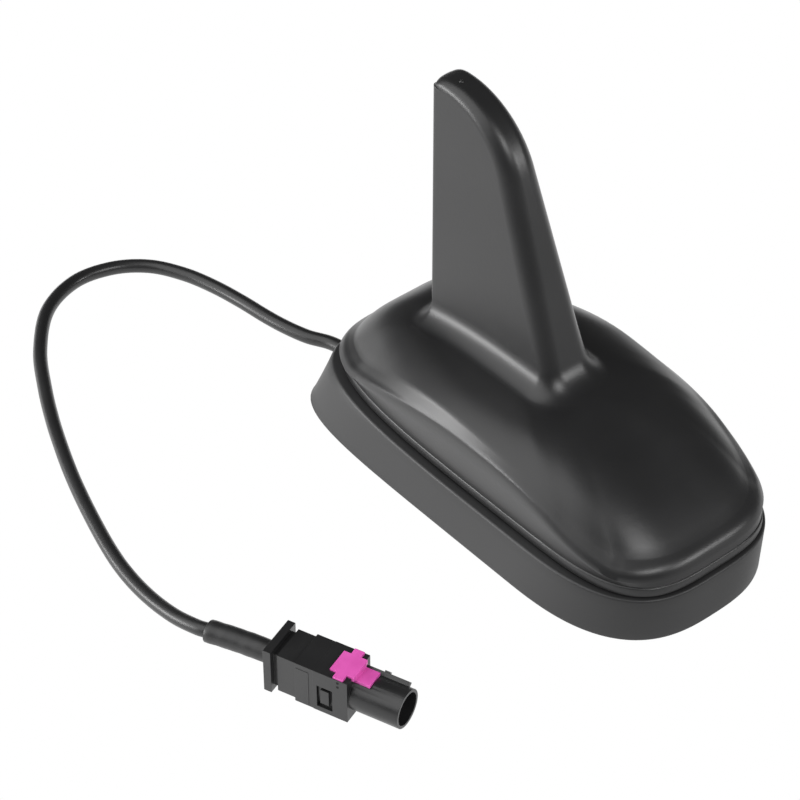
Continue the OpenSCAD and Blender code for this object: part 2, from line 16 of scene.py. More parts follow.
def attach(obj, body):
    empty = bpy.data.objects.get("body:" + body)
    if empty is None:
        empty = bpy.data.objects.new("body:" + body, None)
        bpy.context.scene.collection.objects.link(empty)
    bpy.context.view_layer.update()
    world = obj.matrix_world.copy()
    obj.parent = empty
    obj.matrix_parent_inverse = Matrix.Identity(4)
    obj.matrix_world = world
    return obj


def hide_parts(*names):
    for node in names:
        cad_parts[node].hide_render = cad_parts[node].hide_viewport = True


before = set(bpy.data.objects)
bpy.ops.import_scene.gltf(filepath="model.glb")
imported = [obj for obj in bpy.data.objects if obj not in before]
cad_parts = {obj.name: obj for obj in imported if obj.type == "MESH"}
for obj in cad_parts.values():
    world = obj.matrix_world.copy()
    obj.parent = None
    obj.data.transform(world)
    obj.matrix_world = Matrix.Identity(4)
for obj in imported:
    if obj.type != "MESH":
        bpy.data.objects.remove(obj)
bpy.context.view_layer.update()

bl_info = {
    "name": "Shark Fin Aerial",
    "version": (1, 0, 0),
    "blender": (4, 5, 0),
    "location": "View3D > Sidebar > Aerial",
    "description": "Builds the looks of a shark fin roof aerial with its lead and RF plug",
    "category": "Add Mesh",
}

MM = 0.001
BODY = "root"


# Settings, in millimetres and degrees


def size(name, default, text, low=0.0, high=200.0):
    return FloatProperty(name=name, description=text, default=default, min=low, max=high)


class AerialStage(bpy.types.PropertyGroup):
    lens: FloatProperty(
        name="Lens", description="Focal length of the studio camera, on a 36 mm sensor",
        default=131.8, unit="CAMERA")
    azimuth: FloatProperty(
        name="Azimuth", description="Side from which the camera looks, in degrees", default=-40.0)
    elevation: FloatProperty(
        name="Elevation", description="Height of the camera above the horizon, in degrees",
        default=41.0)
    position: FloatVectorProperty(
        name="Position", description="Place of the camera in the part's frame, in millimetres",
        default=(-328.68, -345.38, 435.77), size=3)
    floor_glow: size("Floor Glow", 1.05, "How brightly the white table shows in the plastic")
    room_glow: size("Room Glow", 0.10, "How bright the room round the table is")
    back_power: size("Back Light", 8.0, "Power of the softbox at the left rear, in watts")
    front_power: size("Front Light", 3.6, "Power of the softboxes in front, in watts")
    top_power: size("Top Light", 15.0, "Power of the softbox above, in watts")


class AerialBase(bpy.types.PropertyGroup):
    length: size("Length", 112.0, "Length of the rubber skirt")
    width: size("Width", 54.0, "Width of the rubber skirt")
    skirt_h: size("Skirt Height", 12.0, "Height of the ledge round the cover")
    flare: size("Rear Flare", 2.6, "How far the skirt draws in at the rear")
    ledge: size("Ledge", 2.0, "Width of the ledge beside the cover")
    gap: size("Gap", 0.5, "Shadow gap between the ledge and the cover")
    rubber: size("Rubber", 4.0, "Thickness of the rubber round the tray")


class AerialCover(bpy.types.PropertyGroup):
    wall: size("Wall", 2.2, "Wall of the cover")
    dome_h: size("Dome Height", 34.5, "Highest point of the dome")
    shoulder_h: size("Shoulder Height", 27.2, "Height of the arched crease")
    bulge: size("Bulge", 1.0, "How far the sides lean out to the crease")
    nose_h: size("Nose Height", 18.7, "Height of the brow round the nose")
    boss_d: size("Boss Diameter", 6.4, "Diameter of the screw bosses inside")


class AerialFin(bpy.types.PropertyGroup):
    height: size("Height", 92.0, "Height of the fin's tip")
    root_t: size("Root Thickness", 13.0, "Thickness at the root")
    top_t: size("Top Thickness", 8.0, "Thickness under the rounded top")
    lean: size("Lean", 21.5, "Lean of the leading edge, in degrees")
    crown_r: size("Crown Radius", 21.7, "Radius from the leading edge to the tip")
    rear: size("Rear", 28.6, "Distance of the rear face behind the middle")
    fillet: size("Fillet", 4.2, "Fillet between the fin and the dome")
    wall: size("Wall", 1.6, "Wall of the fin")


class AerialLead(bpy.types.PropertyGroup):
    diameter: size("Diameter", 3.3, "Diameter of the coaxial lead")
    sleeve_d: size("Sleeve Diameter", 5.0, "Diameter of the heat shrink sleeve")
    sleeve_l: size("Sleeve Length", 15.0, "Length of the heat shrink sleeve")


class AerialPlug(bpy.types.PropertyGroup):
    at: FloatVectorProperty(
        name="Place", description="Middle of the flange's rear face, in millimetres",
        default=(-80.7, -10.6, 5.65), size=3)
    turn: size("Turn", 20.5, "Turn of the plug's axis, in degrees")
    edge: size("Edge", 0.16, "Rounding of the moulded edges")
    width: size("Width", 9.4, "Width of the plug's body")
    height: size("Height", 11.0, "Height of the plug's body")
    carrier: size("Carrier", 4.4, "Length of the plug's rear carrier")


class AerialSettings(bpy.types.PropertyGroup):
    detail: IntProperty(
        name="Detail", description="Points in a quarter of the cover's rings", default=48,
        min=16, max=64)
    stage: PointerProperty(type=AerialStage)
    base: PointerProperty(type=AerialBase)
    cover: PointerProperty(type=AerialCover)
    fin: PointerProperty(type=AerialFin)
    lead: PointerProperty(type=AerialLead)
    plug: PointerProperty(type=AerialPlug)


def settings():
    return bpy.context.scene.aerial


# Mesh helpers


def new_piece(name, bm, look, *nodes, angle=40):
    """A shown object at the origin that rides on the part and stands for CAD nodes."""
    bmesh.ops.recalc_face_normals(bm, faces=bm.faces)
    mesh = bpy.data.meshes.new(name)
    bm.to_mesh(mesh)
    bm.free()
    mesh.materials.append(look)
    mesh.shade_smooth()
    mesh.set_sharp_from_angle(angle=math.radians(angle))
    obj = bpy.data.objects.new(name, mesh)
    bpy.context.scene.collection.objects.link(obj)
    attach(obj, BODY)
    if nodes:
        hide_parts(*nodes)
    return obj


def node_copy(node):
    """A bmesh of a CAD node with its split vertices welded and its flat faces whole."""
    bm = bmesh.new()
    bm.from_mesh(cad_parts[node].data)
    bmesh.ops.remove_doubles(bm, verts=bm.verts, dist=0.002 * MM)
    bmesh.ops.dissolve_limit(
        bm, angle_limit=math.radians(0.5), verts=bm.verts, edges=bm.edges,
        use_dissolve_boundaries=False)
    return bm


def bevelled(obj, width):
    """Rounds the sharp edges of an object."""
    edge = obj.modifiers.new("edges", "BEVEL")
    edge.width = width * MM
    edge.segments = 2
    edge.limit_method = "ANGLE"
    edge.angle_limit = math.radians(32)
    edge.use_clamp_overlap = True
    edge.harden_normals = True
    return obj


def add_loft(bm, rings, closed=False):
    """Quads between rings of equal count, given in millimetres. An open loft is capped."""
    rows = [[bm.verts.new(Vector(p) * MM) for p in ring] for ring in rings]
    pairs = list(zip(rows, rows[1:]))
    if closed:
        pairs.append((rows[-1], rows[0]))
    for a, b in pairs:
        n = len(a)
        for i in range(n):
            bm.faces.new((a[i], a[(i + 1) % n], b[(i + 1) % n], b[i]))
    if not closed:
        bm.faces.new(list(reversed(rows[0])))
        bm.faces.new(rows[-1])


def add_box(bm, low, high, place):
    """A box between two corners, in the axes of the place."""
    low, high = Vector(low), Vector(high)
    middle = Matrix.Translation((low + high) / 2)
    span = Matrix.Diagonal((*(high - low), 1))
    bmesh.ops.create_cube(bm, size=1, matrix=Matrix.Scale(MM, 4) @ place @ middle @ span)


def add_turned(bm, profile, place, n):
    """A closed profile of (radius, height) pairs turned about the Z axis of the place."""
    verts = [bm.verts.new((place @ Vector((r, 0, z))) * MM) for r, z in profile]
    edges = [bm.edges.new(pair) for pair in zip(verts, verts[1:] + verts[:1])]
    bmesh.ops.spin(
        bm, geom=verts + edges, cent=place.translation * MM, axis=place.col[2].xyz,
        angle=2 * math.pi, steps=n, use_merge=True)


def circle(middle, radius, side, up, n):
    """Points round a middle, in the plane of two directions."""
    turns = [2 * math.pi * i / n for i in range(n)]
    return [middle + radius * (math.cos(t) * side + math.sin(t) * up) for t in turns]


def across(along):
    """Two directions square to one: to the side, and up from it."""
    side = along.cross(Vector((0, 0, 1))).normalized()
    return side, side.cross(along)


def mix(a, b, k):
    return a + (b - a) * k


def clamp01(v):
    return min(max(v, 0.0), 1.0)


def smoothstep(v):
    u = clamp01(v)
    return u * u * (3 - 2 * u)


def bell(v, middle, spread):
    return math.exp(-((v - middle) / spread) ** 2)


# Materials. Colours are linear, noise is in cells per metre and relief is in millimetres


def shader(name, color, roughness, metallic=0.0, specular=0.5):
    material = bpy.data.materials.new(name)
    material.use_nodes = True
    surface = material.node_tree.nodes["Principled BSDF"]
    surface.inputs["Base Color"].default_value = (*color, 1)
    surface.inputs["Roughness"].default_value = roughness
    surface.inputs["Metallic"].default_value = metallic
    surface.inputs["Specular IOR Level"].default_value = specular
    return material, surface


def noise(material, scale, detail=2.0, stretch=(1, 1, 1)):
    """Noise on object coordinates; scale is cells per metre."""
    tree = material.node_tree
    place = tree.nodes.new("ShaderNodeTexCoord")
    mapping = tree.nodes.new("ShaderNodeMapping")
    mapping.inputs["Scale"].default_value = stretch
    texture = tree.nodes.new("ShaderNodeTexNoise")
    texture.inputs["Scale"].default_value = scale
    texture.inputs["Detail"].default_value = detail
    tree.links.new(place.outputs["Object"], mapping.inputs["Vector"])
    tree.links.new(mapping.outputs["Vector"], texture.inputs["Vector"])
    return texture.outputs["Fac"]


def drift(material, surface, socket, source, low, high, start=0.3, stop=0.7):
    """A shader value that follows a texture from low to high."""
    tree = material.node_tree
    span = tree.nodes.new("ShaderNodeMapRange")
    for key, value in (("From Min", start), ("From Max", stop), ("To Min", low), ("To Max", high)):
        span.inputs[key].default_value = value
    tree.links.new(source, span.inputs["Value"])
    tree.links.new(span.outputs["Result"], surface.inputs[socket])


def bump(material, surface, source, depth, strength, under=None):
    """Relief from a texture, on top of another relief where one is given."""
    tree = material.node_tree
    relief = tree.nodes.new("ShaderNodeBump")
    relief.inputs["Strength"].default_value = strength
    relief.inputs["Distance"].default_value = depth
    tree.links.new(source, relief.inputs["Height"])
    if under is not None:
        tree.links.new(under.outputs["Normal"], relief.inputs["Normal"])
    tree.links.new(relief.outputs["Normal"], surface.inputs["Normal"])
    return relief


def tint(material, surface, source, dark, light):
    """Colour that drifts between two tones."""
    tree = material.node_tree
    ramp = tree.nodes.new("ShaderNodeValToRGB")
    for stop, place, color in zip(ramp.color_ramp.elements, (0.3, 0.7), (dark, light)):
        stop.position = place
        stop.color = (*color, 1)
    tree.links.new(source, ramp.inputs["Fac"])
    tree.links.new(ramp.outputs["Color"], surface.inputs["Base Color"])


def cover_plastic():
    """Black satin moulding with a fine spark-eroded grain and slow changes of gloss."""
    material, surface = shader("cover_plastic", (0.013, 0.013, 0.0135), 0.36)
    grain = noise(material, 3800, detail=3)
    coarse = noise(material, 900, detail=2)
    slow = noise(material, 45, detail=3)
    drift(material, surface, "Roughness", slow, 0.33, 0.39)
    tint(material, surface, slow, (0.011, 0.011, 0.0115), (0.015, 0.015, 0.0155))
    under = bump(material, surface, coarse, 0.02 * MM, 0.6)
    bump(material, surface, grain, 0.012 * MM, 0.8, under)
    return material


def skirt_rubber():
    """Dull rubber, a little greyer than the cover."""
    material, surface = shader("skirt_rubber", (0.017, 0.017, 0.0175), 0.46, specular=0.45)
    grain = noise(material, 2600, detail=3)
    slow = noise(material, 60, detail=3)
    drift(material, surface, "Roughness", slow, 0.42, 0.5)
    tint(material, surface, slow, (0.015, 0.015, 0.0155), (0.02, 0.02, 0.0205))
    bump(material, surface, grain, 0.01 * MM, 0.7)
    return material


def lead_jacket():
    """Satin black cable jacket."""
    material, surface = shader("lead_jacket", (0.012, 0.012, 0.0125), 0.36)
    slow = noise(material, 120, detail=3)
    drift(material, surface, "Roughness", slow, 0.31, 0.42)
    bump(material, surface, noise(material, 2200), 0.01 * MM, 0.5)
    return material


def shrink_sleeve():
    """Heat shrink tube with the faint ripple that it keeps after shrinking."""
    material, surface = shader("shrink_sleeve", (0.014, 0.014, 0.0145), 0.45)
    drift(material, surface, "Roughness", noise(material, 260, detail=3), 0.4, 0.5)
    bump(material, surface, noise(material, 900, detail=3), 0.03 * MM, 0.7)
    return material


def plug_plastic():
    """Glass-filled connector plastic."""
    material, surface = shader("plug_plastic", (0.013, 0.013, 0.0135), 0.34)
    drift(material, surface, "Roughness", noise(material, 160, detail=3), 0.29, 0.4)
    bump(material, surface, noise(material, 3000, detail=3), 0.008 * MM, 0.7)
    return material


def violet_plastic():
    material, surface = shader("violet_plastic", (0.70, 0.10, 0.43), 0.42)
    tint(material, surface, noise(material, 300, detail=3), (0.66, 0.085, 0.40), (0.75, 0.11, 0.47))
    bump(material, surface, noise(material, 2500), 0.01 * MM, 0.6)
    return material


def metal(name, color, roughness):
    material, surface = shader(name, color, roughness, metallic=1.0)
    fine = noise(material, 1500, detail=3)
    drift(material, surface, "Roughness", fine, roughness * 0.85, roughness * 1.2)
    bump(material, surface, fine, 0.004 * MM, 0.5)
    return material


def moulded(name, color, roughness, cells=1200):
    material, surface = shader(name, color, roughness)
    fine = noise(material, cells, detail=3)
    tint(material, surface, fine, tuple(0.88 * c for c in color), color)
    bump(material, surface, fine, 0.02 * MM, 0.6)
    return material


def board_mask():
    """Green solder mask with a fine glass weave under it."""
    material, surface = shader("board_mask", (0.02, 0.12, 0.05), 0.3)
    weave = noise(material, 1400, detail=1, stretch=(1, 0.15, 1))
    tint(material, surface, weave, (0.014, 0.10, 0.04), (0.024, 0.14, 0.06))
    bump(material, surface, weave, 0.01 * MM, 0.4)
    return material


# Form of the cover and the skirt, at a finer pitch than in the CAD source


class Form:
    """The aerial's curves, in millimetres. Rings start at the rear centre and run by way of +X.

    A fin ring's r runs from 0 at the root, past `straight` where the crown starts, to 1 at its end.
    """

    widest_y = -20.0  # the base is widest here
    draft = 1.0  # how far the skirt's wall draws in up to the ledge
    lip = 1.0  # the skirt's lip inside the cover's outline
    nose_in = 0.9  # the cover's nose behind the front of the base
    tail_in = 2.4  # the cover's tail in front of the ledge's rear
    crease_y = -3.0  # the arched crease is highest here
    crease_rise = 4.8  # the crease's ends over the rim
    ends_in = 0.6  # and inside it
    arch_front = 44.0  # reach of the crease's arch to the front
    arch_rear = 42.0  # and to the rear
    brow_y, brow_run = -32.0, 14.0  # the brow round the nose rises from here, over this length
    nose_y, nose_run = -44.0, 11.0  # the crease draws in round the nose from here
    nose_draw = 1.2  # by this much
    ridge_y = -6.0  # the dome is highest here
    camber = 0.012  # fall of the dome to the sides, over the square of x
    straight = 0.5  # share of r along the straight leading edge
    root_drop = 1.5  # the fin's root under the dome's top
    root_lift = 1.2  # the section that the fillet follows, over the root
    rear_sweep = 3.1  # how far the rear face leans back up to the tip
    splits = (5 / 32, 8 / 32, 18 / 32, 27 / 32)  # where half a fin ring goes from face to face
    rear_corner = 1.2  # radius of the corners beside the rear face
    root_corner, top_corner = 4.0, 2.2  # radius of those beside the leading face
    crown_back = 2.2  # middle of the crown's arc in front of the rear face
    crown_drop = 0.4  # top of the crown's arc under the tip
    crown_stop = 86.0  # angle at which the crown's arc ends, in degrees
    top_drop = 2.6  # top of the fin's side faces under the tip
    end_drop = 1.7  # the crown's rounded end under the tip
    end_width = 0.88  # its width as a share of the crown's

    def __init__(self):
        cfg = settings()
        self.base, self.cover, self.fin = cfg.base, cfg.cover, cfg.fin
        self.n = 4 * cfg.detail
        self.half_l = self.base.length / 2
        self.foot_z = self.base.skirt_h + self.base.gap
        self.cover_w = self.base.width / 2 - self.draft - self.base.ledge
        self.cover_nose = -self.half_l + self.nose_in
        self.cover_tail = self.half_l - self.base.flare - self.tail_in
        self.crease_foot = self.foot_z + self.crease_rise
        self.lean = math.radians(self.fin.lean)
        self.crown_c = (self.fin.rear - self.crown_back,
                        self.fin.height - self.fin.crown_r - self.crown_drop)
        self.crown_foot = (self.crown_c[0] - self.fin.crown_r * math.cos(self.lean),
                           self.crown_c[1] + self.fin.crown_r * math.sin(self.lean))
        self.root_z = self.cover.dome_h - self.root_drop
        self.top_z = self.fin.height - self.top_drop

    def turn(self, i):
        return 2 * math.pi * i / self.n

    def oval(self, t, w, rear, front, rear_n, front_n):
        """A plan's point: half width, rear and front end, and how square each end is."""
        s, c = math.sin(t), math.cos(t)
        n = rear_n if c >= 0 else front_n
        a = rear - self.widest_y if c >= 0 else self.widest_y - front
        k = (abs(s) ** n + abs(c) ** n) ** (-1 / n)
        return w * s * k, self.widest_y + a * c * k

    def foot_plan(self, t, inset):
        return self.oval(t, self.base.width / 2 - inset, self.half_l - inset,
                         -self.half_l + inset, 6, 2.75)

    def ledge_plan(self, t, inset):
        return self.oval(t, self.base.width / 2 - self.draft - inset,
                         self.half_l - self.base.flare - inset, -self.half_l + inset, 4, 3.1)

    def cover_plan(self, t, inset):
        return self.oval(t, self.cover_w - inset, self.cover_tail - inset,
                         self.cover_nose + inset, 4, 3.5)

    def ring(self, plan, inset, z):
        return [(*plan(self.turn(i), inset), z) for i in range(self.n)]

    def stations(self):
        """The angle of each point of a ring, and its place along the cover."""
        turns = [self.turn(i) for i in range(self.n)]
        return [(t, self.cover_plan(t, 0)[1]) for t in turns]

    # Dome

    def arch(self, y):
        """Rise of the crease as a share: 1 where it is highest and 0 at its ends."""
        if y > self.crease_y:
            return 1 - min((y - self.crease_y) / self.arch_rear, 1) ** 1.7
        return (1 - min((self.crease_y - y) / self.arch_front, 1) ** 3.2) ** 1.6

    def crease_z(self, y):
        """Height of the crease, which runs into the brow round the nose."""
        brow = smoothstep((self.brow_y - y) / self.brow_run)
        return (mix(self.crease_foot, self.cover.nose_h, brow)
                + (self.cover.shoulder_h - self.crease_foot) * self.arch(y))

    def crease_in(self, y):
        """How far the crease lies inside the rim."""
        drawn = self.nose_draw * smoothstep((self.nose_y - y) / self.nose_run)
        return mix(self.ends_in, -self.cover.bulge, self.arch(y)) + drawn

    def ridge_z(self, y):
        """Height of the dome along its middle."""
        front = y < self.ridge_y
        n = 1.6 if front else 2.5
        a = self.ridge_y - self.cover_nose if front else self.cover_tail - self.ridge_y
        u = min(abs(y - self.ridge_y) / a, 1)
        return self.foot_z + (self.cover.dome_h - self.foot_z) * (1 - u ** n) ** (1 / n)

    def steep(self, y):
        """Height of the steep band over the crease: most beside the fin, a little at the brow."""
        return 1.0 + 2.1 * bell(y, 13, 30) + 0.5 * bell(y, -42, 9)

    def dome_ring(self, at_ends, at_middle):
        """A ring by its inset from the crease and its height over it, at the ends and mid-side."""
        points = []
        for t, y in self.stations():
            a = self.arch(y)
            inset = self.crease_in(y) + mix(at_ends[0], at_middle[0], a)
            z = self.crease_z(y) + mix(at_ends[1], at_middle[1], a)
            points.append((*self.cover_plan(t, inset), z))
        return points

    def steep_ring(self, inset, lower=0.0):
        """The steep band's upper edge."""
        points = []
        for t, y in self.stations():
            plan = self.cover_plan(t, self.crease_in(y) + inset)
            points.append((*plan, self.crease_z(y) + self.steep(y) - lower))
        return points

    # Fin

    def crown_share(self, r):
        return (r - self.straight) / (1 - self.straight)

    def sweep(self, r):
        """Angle on the crown's arc, from square to the leading edge to the crown's end."""
        start = 180 - math.degrees(self.lean)
        return math.radians(mix(start, self.crown_stop, self.crown_share(r)))

    def lead_edge(self, r):
        """Place of the leading edge, along Y and Z."""
        if r < self.straight:
            z = mix(self.root_z, self.crown_foot[1], r / self.straight)
            return self.crown_foot[0] - (self.crown_foot[1] - z) * math.tan(self.lean), z
        a = self.sweep(r)
        return (self.crown_c[0] + self.fin.crown_r * math.cos(a),
                self.crown_c[1] + self.fin.crown_r * math.sin(a))

    def lead_normal(self, r):
        """Direction square to the leading edge, into the fin."""
        if r < self.straight:
            return math.cos(self.lean), -math.sin(self.lean)
        a = self.sweep(r)
        return -math.cos(a), -math.sin(a)

    def edge_r(self, r):
        """Radius of the two corners beside the leading face."""
        return mix(self.root_corner, self.top_corner, clamp01(self.crown_share(r)))

    def rear_z(self, r):
        """Height at which a ring crosses the rear face."""
        start = self.crown_foot[1] + 2
        if r < self.straight:
            return mix(self.root_z, start, r / self.straight)
        return mix(start, self.top_z, self.crown_share(r))

    def rear_y(self, z):
        height = self.fin.height - self.root_z
        return self.fin.rear + self.rear_sweep * (z - self.root_z) / height

    def half_t(self, z):
        share = (z - self.root_z) / (self.top_z - self.root_z)
        return mix(self.fin.root_t, self.fin.top_t, share) / 2

    def fin_point(self, j, r, inset):
        """One point of half a fin ring: rear face, corner, side face, corner, leading face."""
        half = self.n // 2
        rear, corner, side, front = (round(half * k) for k in self.splits)
        ce, cn = self.lead_edge(r), self.lead_normal(r)
        c = (ce[0] + inset * cn[0], ce[1] + inset * cn[1])
        radius = self.edge_r(r)
        q = (ce[0] + radius * cn[0], ce[1] + radius * cn[1])
        ez = self.rear_z(r)
        ey = self.rear_y(ez) - inset
        w = self.half_t(ez) - inset
        cr = self.rear_corner
        if j <= rear:
            return (w - cr) * j / rear, ey, ez
        if j <= corner:
            a = math.pi / 2 * (j - rear) / (corner - rear)
            return w - cr + cr * math.sin(a), ey - cr + cr * math.cos(a), ez
        if j <= side:
            k = (j - corner) / (side - corner)
            y, z = mix(ey - cr, q[0], k), mix(ez, q[1], k)
            return self.half_t(z) - inset, y, z
        w = self.half_t(q[1]) - inset
        flat = max(w - radius, 0.3)
        if j <= front:
            a = math.pi / 2 * (j - side) / (front - side)
            x, k = flat + (w - flat) * math.cos(a), math.sin(a)
        else:
            x, k = flat * (half - j) / (half - front), 1
        return x, mix(q[0], c[0], k), mix(q[1], c[1], k)

    def fin_ring(self, r, inset=0.0):
        half = self.n // 2
        points = []
        for i in range(self.n):
            x, y, z = self.fin_point(self.n - i if i > half else i, r, inset)
            points.append((-x if i > half else x, y, z))
        return points

    def crown_end(self, inset, degrees):
        """The crown's end, rounded over onto the top edge of the rear face."""
        a = math.radians(degrees)
        half = self.half_t(self.top_z) - inset
        top = self.fin.height - self.end_drop - inset
        points = []
        for x, y, z in self.fin_ring(1, inset):
            over = clamp01(abs(x) / half)
            end_x = self.end_width * x
            end_z = top - 0.8 * (1 - math.sqrt(1 - 0.98 * over * over))
            end_y = self.rear_y(end_z) - inset - 0.25 - 0.5 * over * over
            points.append((mix(end_x, x, math.cos(a)), mix(y, end_y, math.sin(a)),
                           mix(end_z, z, math.cos(a))))
        return points

    def root_ring(self, out, up, inset=0.0):
        """The fin's own section at that height, pushed out over the dome by the fillet."""
        r = self.straight * clamp01((self.root_lift + up) / (self.crown_foot[1] - self.root_z))
        ring = self.fin_ring(r, inset)
        points = []
        for i in range(self.n):
            a, b = ring[i - 2], ring[(i + 2) % self.n]
            away = -Vector((b[1] - a[1], a[0] - b[0])).normalized()
            x, y = ring[i][0] + out * away.x, ring[i][1] + out * away.y
            points.append((x, y, self.ridge_z(y) - self.camber * x * x + up))
        return points

    def crown_ring(self, low, high, k):
        """Part of the way over the dome, from the steep band to the fin's fillet."""
        points = []
        for i in range(self.n):
            e = 2 + 0.8 * math.sin(self.turn(i)) ** 2
            points.append((mix(low[i][0], high[i][0], k), mix(low[i][1], high[i][1], k),
                           mix(low[i][2], high[i][2], 1 - (1 - k) ** e)))
        return points

    def rim_ring(self, inset, z, step):
        """A ring of the rim; step draws it in round the nose only."""
        points = []
        for t, y in self.stations():
            drawn = inset + step * clamp01((self.widest_y - y) / 25)
            points.append((*self.cover_plan(t, drawn), z))
        return points


# The cover's rim with its band: inset, height over the lip, and how far it draws in at the nose
BAND = 2.2
RIM = (
    (0.25, 0, 0), (0.05, 0.1, 0), (0, 0.3, 0), (0.02, BAND - 0.25, 0), (0.06, BAND - 0.08, 0),
    (0.12, BAND, 0.06), (0.17, BAND + 0.1, 0.14), (0.13, BAND + 0.25, 0.12),
)
# Rings over the crease: inset and height from it, at the ends and then mid-side
CREASE = (
    ((-1.25, -2.0), (-0.1, -1.7)), ((-0.75, -1.0), (-0.04, -1.0)), ((-0.42, -0.5), (0.0, -0.55)),
    ((0.0, -0.1), (0.12, -0.15)), ((0.4, 0.2), (0.36, 0.25)),
)
# Upper edge of the steep band over the crease, inside it
BAND_IN = 1.85
# Steps of the crown's rounded end, in degrees
CROWN_TURNS = (12, 24, 36, 48, 60, 72, 81, 90)
# The skirt's rounded edges: inset, and height over the table or depth under the ledge
SKIRT_FOOT = ((0.55, 0), (0.16, 0.12), (0.03, 0.35))
SKIRT_TOP = ((0.05, 0.35), (0.2, 0.1), (0.5, 0))
# The rings of its wall keep this far from the table and the ledge
SKIRT_EDGE = 0.7


def between(a, b):
    """Three rings evenly between two."""
    return [[tuple(mix(p[c], q[c], k) for c in range(3)) for p, q in zip(a, b)]
            for k in (0.25, 0.5, 0.75)]


def outer_rings(form):
    """Outer skin: rim, crease, dome, fillet, fin and crown."""
    fillet = form.fin.fillet
    rim = [form.rim_ring(inset, form.foot_z + rise, step) for inset, rise, step in RIM]
    crease = [form.dome_ring(*places) for places in CREASE]
    low = form.steep_ring(BAND_IN)
    high = form.root_ring(fillet, 0)
    dome = [form.crown_ring(low, high, k / 20) for k in range(1, 20)]
    turns = [math.radians(a) for a in range(0, 91, 10)]
    root = [form.root_ring(fillet * (1 - math.sin(t)), fillet * (1 - math.cos(t))) for t in turns]
    fin = [form.fin_ring(r / 100) for r in range(12, 50, 5)]
    fin += [form.fin_ring(form.straight + k / 32) for k in range(17)]
    crown = [form.crown_end(0, a) for a in CROWN_TURNS]
    return (rim + between(rim[-1], crease[0]) + crease + between(crease[-1], low) + [low]
            + dome + root + fin + crown)


def inner_rings(form):
    """Inner skin, a wall inside the outer one, from the crown back down to the rim."""
    wall, thin = form.cover.wall, form.fin.wall
    low = form.steep_ring(1.5 + wall, 0.65 * wall)
    high = form.root_ring(0, -wall, thin)
    fin = [form.crown_end(thin, a) for a in (89, 50)]
    fin += [form.fin_ring(r, thin) for r in (0.96, 0.8, 0.65, 0.5, 0.3, 0.1)]
    dome = [form.crown_ring(low, high, k) for k in (0.75, 0.5, 0.25)]
    crease = form.dome_ring((wall - 1, -3), (wall, -1.7))
    return fin + [high] + dome + [low, crease, form.ring(form.cover_plan, wall, form.foot_z)]


def skirt_rings(form):
    """Skirt: outer wall, rounded top edge, ledge, lip under the cover, and the inner wall."""
    top, foot, rubber = form.base.skirt_h, form.foot_z, form.base.rubber
    low, high = form.ring(form.foot_plan, 0, 0), form.ring(form.ledge_plan, 0, 0)
    rings = [form.ring(form.foot_plan, inset, z) for inset, z in SKIRT_FOOT]
    for k in range(6):
        z = mix(SKIRT_EDGE, top - SKIRT_EDGE, k / 5)
        share = z / top
        rings.append([(mix(p[0], q[0], share), mix(p[1], q[1], share), z)
                      for p, q in zip(low, high)])
    rings += [form.ring(form.ledge_plan, inset, top - drop) for inset, drop in SKIRT_TOP]
    rings += [form.ring(form.cover_plan, form.lip, z) for z in (top, foot)]
    return rings + [form.ring(form.ledge_plan, rubber, z) for z in (foot, 0)]


# Lead and plug, in millimetres

# Route of the free lead on the table, from the skirt to the sleeve
EXIT = (-6, 53.4, 2.65)
LEAD_ROUTE = (
    EXIT, (-7.2, 62, 2.1), (-9.7, 68, 1.7), (-11.4, 74, 1.65), (-12.5, 80, 1.65), (-13.5, 88, 1.65),
    (-15, 96.4, 1.65), (-17.6, 104.9, 1.65), (-22.2, 112.8, 1.65), (-29.6, 118, 1.65),
    (-39.4, 119.4, 1.65), (-50.3, 114.7, 1.65), (-60, 103.8, 1.65), (-66.8, 92.1, 1.65),
    (-71.8, 81.9, 1.65), (-75.6, 73, 1.65), (-78.8, 64.8, 1.65), (-81.5, 56.9, 1.65),
    (-84, 48.7, 1.65), (-86.1, 41, 1.65), (-87.5, 34.5, 1.65), (-88.5, 27.5, 2),
    (-89.1, 20, 2.9), (-89.1, 12.5, 4.2), (-88.2, 6.5, 5.3),
)
# Stretch inside the base, from the stripped end on the board to the skirt
INNER_ROUTE = (
    (-6, 10, 8.05), (-6, 18, 8.05), (-6, 25, 8.05), (-6, 31, 7.2), (-6, 37, 4.9), (-6, 42, 3.2),
    (-6, 46.5, 2.65), EXIT,
)
# How far the free lead's curve runs on into the plug
LEAD_INSIDE = 7.0
# Points of the lead inside the sleeve, behind the plug's rear face
SLEEVE_KNOTS = (10, 5, 0)
# The sleeve's rings are square to its middle line over this length
SLEEVE_STRAIGHT = 6
# Rounded ends of the sleeve: distance from the end, and how much the radius is less
SLEEVE_ENDS = ((0.0, 0.3), (0.04, 0.12), (0.16, 0.02))
# Height of the sleeve's ripple, and its clearance round the lead
RIPPLE = 0.035
SLEEVE_GAP = 0.02

# Screw bosses inside the cover: their places on one side and the height of their feet
BOSSES = ((16.16, -28.5), (14.43, 30.5))
BOSS_FOOT = 3.4
# Their top and the bore's end over the cover's rim, the chamfer at the top, the bore's radius
BOSS_TOP, BOSS_SEAT, BOSS_EDGE, BOSS_BORE = 3.4, 1, 0.2, 1.5
# Gate mark at the tip, and its place from the crown's middle and the tip
GATE_MARK = ((0.6, -0.4), (0.5, 0.25), (0.3, 0.45), (0.01, 0.5), (0.01, -0.4))
GATE_AT = (-0.6, -0.4, -0.6)

